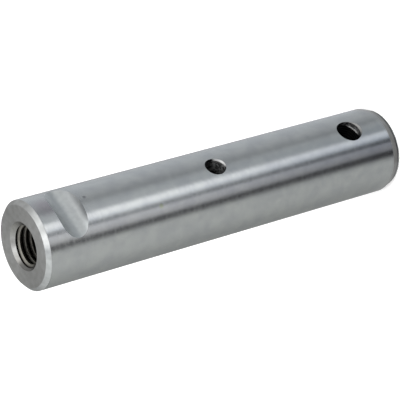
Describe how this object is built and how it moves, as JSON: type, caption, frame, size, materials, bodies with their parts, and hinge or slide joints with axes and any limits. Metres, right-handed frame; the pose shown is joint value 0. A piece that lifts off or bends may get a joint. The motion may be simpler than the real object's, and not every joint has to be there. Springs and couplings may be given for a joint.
{
  "type": "spring pin",
  "caption": "Ground steel leaf-spring pin: plain round shank with a tapped end, a transverse locking groove and radial grease holes fed by a long drilling.",
  "frame": {"origin": "centre of the plain end face, which the pin stands on", "axes": "+Z along the shank's axis, towards the tapped end; the locking groove and both grease holes open towards -Y"},
  "size_m": [0.028, 0.028, 0.136],
  "materials": {
    "ground_steel": "hardened and cylindrically ground, with turned end faces"
  },
  "bodies": {
    "root": {"spring_pin": "ground_steel"}
  },
  "joints": []
}
